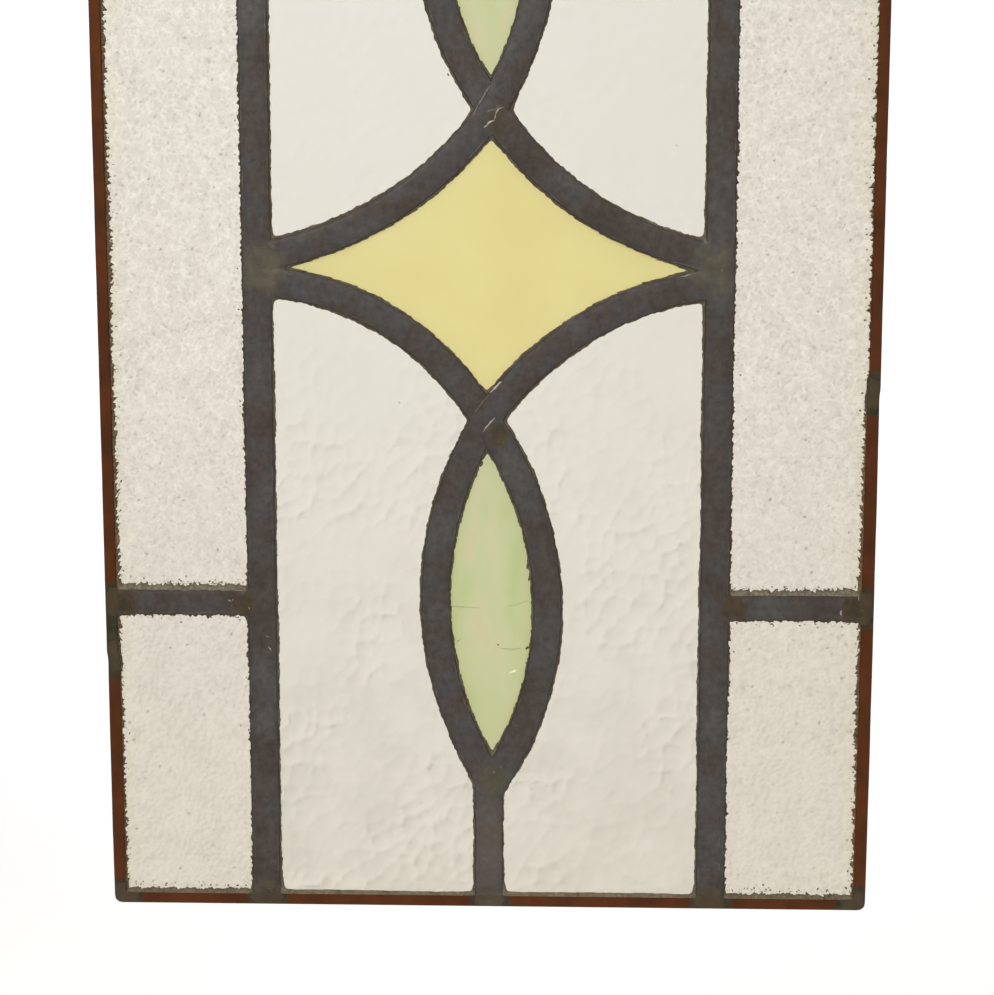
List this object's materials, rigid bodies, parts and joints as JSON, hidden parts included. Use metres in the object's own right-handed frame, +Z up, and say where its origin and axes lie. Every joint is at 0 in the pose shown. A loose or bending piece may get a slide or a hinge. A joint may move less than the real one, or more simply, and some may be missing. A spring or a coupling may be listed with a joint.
{
  "type": "leaded stained glass window panel",
  "caption": "Tall leaded light: clear hammered panes round a yellow concave diamond between two green leaf shapes, granite-textured border panes, lead cames, thin bronzed edge came.",
  "frame": {"origin": "middle of the panel's bottom edge, on the underside of the edge came, half-way between front and back", "axes": "+X to the right seen from the front, +Y from front to back, +Z up; the front faces -Y"},
  "size_m": [0.3309, 0.0068, 0.556],
  "materials": {
    "lead": "dull oxidised lead came, dark grey, with solder at the joints",
    "solder": "lumpy tarnished solder, olive grey, fused over every joint on both faces",
    "glazing_cement": "ragged dry glazing cement, nearly black, along the edges of the glass",
    "bronzed_edge": "thin metal came with a reddish-brown bronzed patina",
    "granite_glass": "clear glass with a fine granular rolled texture on one face",
    "hammered_glass": "clear cathedral glass, softly hammered",
    "yellow_opal_glass": "smooth pale yellow opal glass",
    "green_opal_glass": "streaky pale green opal glass, finely cracked"
  },
  "bodies": {
    "root": {"border_pane_left": "granite_glass", "border_pane_right": "granite_glass", "corner_pane_lower_left": "granite_glass", "corner_pane_lower_right": "granite_glass", "corner_pane_upper_left": "granite_glass", "corner_pane_upper_right": "granite_glass", "cross_came_lower_left": "lead", "cross_came_lower_right": "lead", "cross_came_upper_left": "lead", "cross_came_upper_right": "lead", "diamond_came_lower_left": "lead", "diamond_came_upper_right": "lead", "diamond_pane": "yellow_opal_glass", "edge_came_bottom": "bronzed_edge", "edge_came_left_lower": "bronzed_edge", "edge_came_left_upper": "bronzed_edge", "edge_came_right_lower": "bronzed_edge", "edge_came_right_upper": "bronzed_edge", "edge_came_top": "bronzed_edge", "field_pane_lower_left": "hammered_glass", "field_pane_lower_right": "hammered_glass", "field_pane_upper_left": "hammered_glass", "field_pane_upper_right": "hammered_glass", "leaf_came_lower_right": "lead", "leaf_came_upper_left": "lead", "leaf_pane_lower": "green_opal_glass", "leaf_pane_upper": "green_opal_glass", "stem_came_lower": "lead", "stem_came_upper": "lead", "through_came_lower": "lead", "through_came_upper": "lead", "upright_came_left": "lead", "upright_came_right": "lead"}
  },
  "joints": []
}
